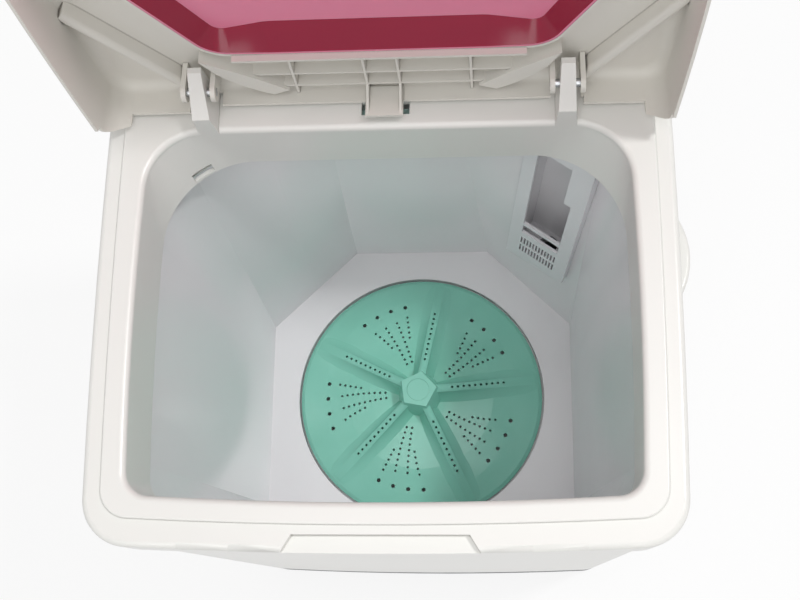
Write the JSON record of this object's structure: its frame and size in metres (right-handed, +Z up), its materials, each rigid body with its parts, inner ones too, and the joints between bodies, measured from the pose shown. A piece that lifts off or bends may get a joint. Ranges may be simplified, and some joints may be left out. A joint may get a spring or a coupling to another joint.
{
  "type": "single-tub washing machine",
  "caption": "Free-standing single-tub washing machine with a hinged see-through lid, a ribbed turning disc in the tub, a belt drive and a rear control console.",
  "frame": {"origin": "centre of the machine's outline on the floor", "axes": "+X to the machine's right as seen from the front, +Y to the back, +Z up"},
  "size_m": [0.5028, 0.466, 1.1131],
  "materials": {
    "shell_white": "smooth gloss",
    "lid_white": "fine satin",
    "window_pink": "translucent gloss",
    "tub_grey": "satin gloss",
    "filter_grey": "satin",
    "pulsator_mint": "gloss",
    "steel": "satin",
    "alloy": "cast",
    "bronze": "sintered",
    "rubber_black": "matt",
    "hose_grey": "matt",
    "motor_grey": "satin",
    "base_grey": "fine grain",
    "cover_grey": "fine grain",
    "capacitor_white": "satin",
    "fitting_white": "satin",
    "panel_grey": "satin",
    "knob_white": "gloss",
    "control_grey": "matt"
  },
  "bodies": {
    "machine": {"top_frame": "shell_white", "cabinet": "shell_white", "side_grip_right": "shell_white", "side_grip_left": "shell_white", "console_housing": "shell_white", "wash_tub": "tub_grey", "filter_cover": "filter_grey", "housing_nut": "steel", "motor_bolts": "steel", "back_cover_screws": "steel", "drain_valve_spring": "steel", "capacitor_clamp": "steel", "bearing_housing": "alloy", "shaft_bushes": "bronze", "drive_belt": "rubber_black", "feet": "rubber_black", "motor_bushes": "rubber_black", "shaft_seal": "rubber_black", "housing_gasket": "rubber_black", "cord_gland": "rubber_black", "drain_elbow": "hose_grey", "drain_hose": "hose_grey", "inlet_hose": "hose_grey", "motor_body": "motor_grey", "base": "base_grey", "back_cover": "cover_grey", "capacitor": "capacitor_white", "drain_valve_body": "fitting_white", "drain_valve_cap": "fitting_white", "drain_outlet": "fitting_white", "inlet_nipple": "fitting_white", "inlet_spout": "fitting_white", "console_panel": "panel_grey", "wash_timer": "control_grey", "wash_selector_switch": "control_grey"},
    "lid": {"lid_frame": "lid_white", "lid_window": "window_pink", "hinge_pins": "steel"},
    "pulsator": {"pulsator": "pulsator_mint", "pulsator_shaft": "steel", "pulsator_screw": "steel", "pulsator_cap": "pulsator_mint", "drive_pulley": "alloy", "pulley_nut": "steel"},
    "rotor": {"motor_shaft": "steel", "motor_pulley": "alloy"},
    "timer_knob": {"timer_knob": "knob_white"},
    "wash_selector": {"wash_selector_knob": "knob_white"},
    "drain_selector": {"drain_selector_knob": "knob_white", "drain_crank": "control_grey"},
    "drain_plunger": {"drain_plunger": "rubber_black", "drain_pull_rod": "steel"}
  },
  "joints": [
    {"name": "lid_hinge", "type": "hinge", "parent": "machine", "child": "lid", "pos_m": [0, 0.131, 0.752], "axis": [1, 0, 0], "range_deg": [0, 97]},
    {"name": "pulsator_spin", "type": "hinge", "parent": "machine", "child": "pulsator", "pos_m": [0, -0.038, 0.29], "axis": [0, 0, 1], "continuous": true},
    {"name": "motor_spin", "type": "hinge", "parent": "machine", "child": "rotor", "pos_m": [-0.085, 0.107, 0.185], "axis": [0, 0, 1], "continuous": true},
    {"name": "timer_turn", "type": "hinge", "parent": "machine", "child": "timer_knob", "pos_m": [-0.13, 0.199, 0.785], "axis": [0, 0.9919, -0.1272], "range_deg": [0, 330]},
    {"name": "wash_select", "type": "hinge", "parent": "machine", "child": "wash_selector", "pos_m": [0.01, 0.199, 0.785], "axis": [0, 0.9919, -0.1272], "range_deg": [-45, 45]},
    {"name": "drain_select", "type": "hinge", "parent": "machine", "child": "drain_selector", "pos_m": [0.14659, 0.199, 0.785], "axis": [0, -0.9919, 0.1272], "range_deg": [0, 90]},
    {"name": "drain_lift", "type": "slide", "parent": "machine", "child": "drain_plunger", "axis": [0, 0, 1], "range_m": [0, 0.01403], "deforming": ["drain_valve_spring"]}
  ],
  "couplings": [
    {"joint": "motor_spin", "follows": "pulsator_spin", "ratio": 3.3333},
    {"joint": "drain_select", "follows": "drain_lift", "rad_per_m": 111.98}
  ]
}
